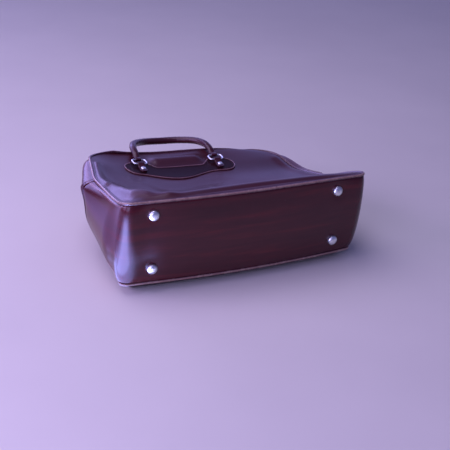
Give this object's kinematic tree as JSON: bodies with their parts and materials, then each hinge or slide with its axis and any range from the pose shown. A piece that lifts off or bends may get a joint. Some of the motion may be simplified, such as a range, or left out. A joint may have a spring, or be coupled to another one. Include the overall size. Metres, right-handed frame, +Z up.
{
  "type": "gym bag",
  "caption": "Glossy vinyl gym bag lying on its back, with piped panels, a wrap-round gusset, dome feet, rolled handles on rings and an open zip mouth.",
  "frame": {"origin": "on the floor, under the middle of the bag's box", "axes": "+X along the bag's length to the right of someone facing its bottom, +Y from the bottom to the mouth, +Z up out of the front panel"},
  "size_m": [0.4616, 0.3796, 0.1661],
  "materials": {
    "vinyl": "glossy oxblood vinyl",
    "worn_vinyl": "vinyl piping worn pale along its ridge",
    "nickel": "polished nickel plate",
    "zip_metal": "dull brass zip teeth"
  },
  "bodies": {
    "root": {"front_panel": "vinyl", "back_panel": "vinyl", "bottom_gusset": "vinyl", "top_gusset": "vinyl", "front_handle_patch": "vinyl", "back_handle_patch": "vinyl", "front_handle": "vinyl", "back_handle": "vinyl", "chape_front_left": "vinyl", "chape_front_right": "vinyl", "chape_back_left": "vinyl", "chape_back_right": "vinyl", "front_piping": "worn_vinyl", "back_piping": "worn_vinyl", "foot_left_back": "nickel", "foot_left_front": "nickel", "foot_right_back": "nickel", "foot_right_front": "nickel", "ring_front_left": "nickel", "ring_front_right": "nickel", "ring_back_left": "nickel", "ring_back_right": "nickel", "rivet_front_left": "nickel", "rivet_front_right": "nickel", "rivet_back_left": "nickel", "rivet_back_right": "nickel", "zip_slider": "nickel", "zip_row_front": "zip_metal", "zip_row_back": "zip_metal"}
  },
  "joints": []
}
